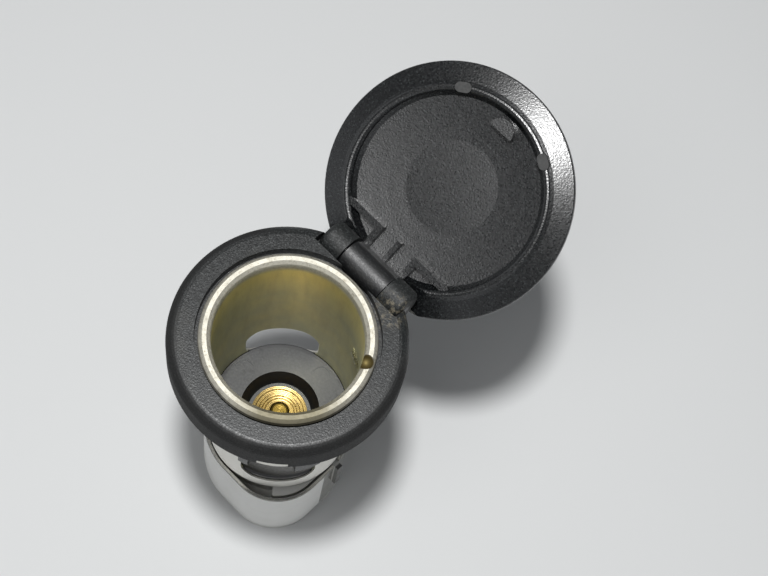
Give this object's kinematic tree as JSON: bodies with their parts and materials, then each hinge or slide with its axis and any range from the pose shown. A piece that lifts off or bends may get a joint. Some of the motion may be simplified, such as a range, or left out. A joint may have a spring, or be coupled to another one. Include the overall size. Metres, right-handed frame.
{
  "type": "vehicle power socket",
  "caption": "Flush vehicle power socket: a plated plug shell in a round black bezel, with a hinged lid and a rear connector housing.",
  "frame": {"origin": "on the plug bore's axis at the panel face, which is the underside of the bezel's skirt", "axes": "+Z out of the mouth along the bore's axis, +Y towards the lid's hinge, +X to the right with the hinge at the back"},
  "size_m": [0.037, 0.0643, 0.0716],
  "materials": {
    "black_plastic": "fine textured moulding",
    "pin_steel": "plain drawn wire",
    "buffer_rubber": "soft matt",
    "nickel_plate": "bright nickel plate, worn at the lip",
    "dark_insulator": "matt moulding",
    "contact_brass": "bright pressed sheet",
    "terminal_brass": "bright strip",
    "terminal_tin": "tin plated",
    "housing_plastic": "smooth moulding",
    "sleeve_steel": "bright plated sheet with bare cut edges",
    "label_paper": "smooth white, bare"
  },
  "bodies": {
    "socket": {"bezel": "black_plastic", "hinge_pin": "pin_steel", "shell": "nickel_plate", "base_insulator": "dark_insulator", "centre_contact": "contact_brass", "contact_rivet": "contact_brass", "positive_terminal": "terminal_brass", "ground_terminal": "terminal_tin", "connector_body": "housing_plastic", "rear_sleeve": "sleeve_steel", "label": "label_paper"},
    "lid": {"lid": "black_plastic", "buffer_left": "buffer_rubber", "buffer_right": "buffer_rubber"}
  },
  "joints": [
    {"name": "lid_hinge", "type": "hinge", "parent": "socket", "child": "lid", "pos_m": [0, 0.0156, 0.0035], "axis": [1, 0, 0], "range_deg": [0, 148]}
  ]
}
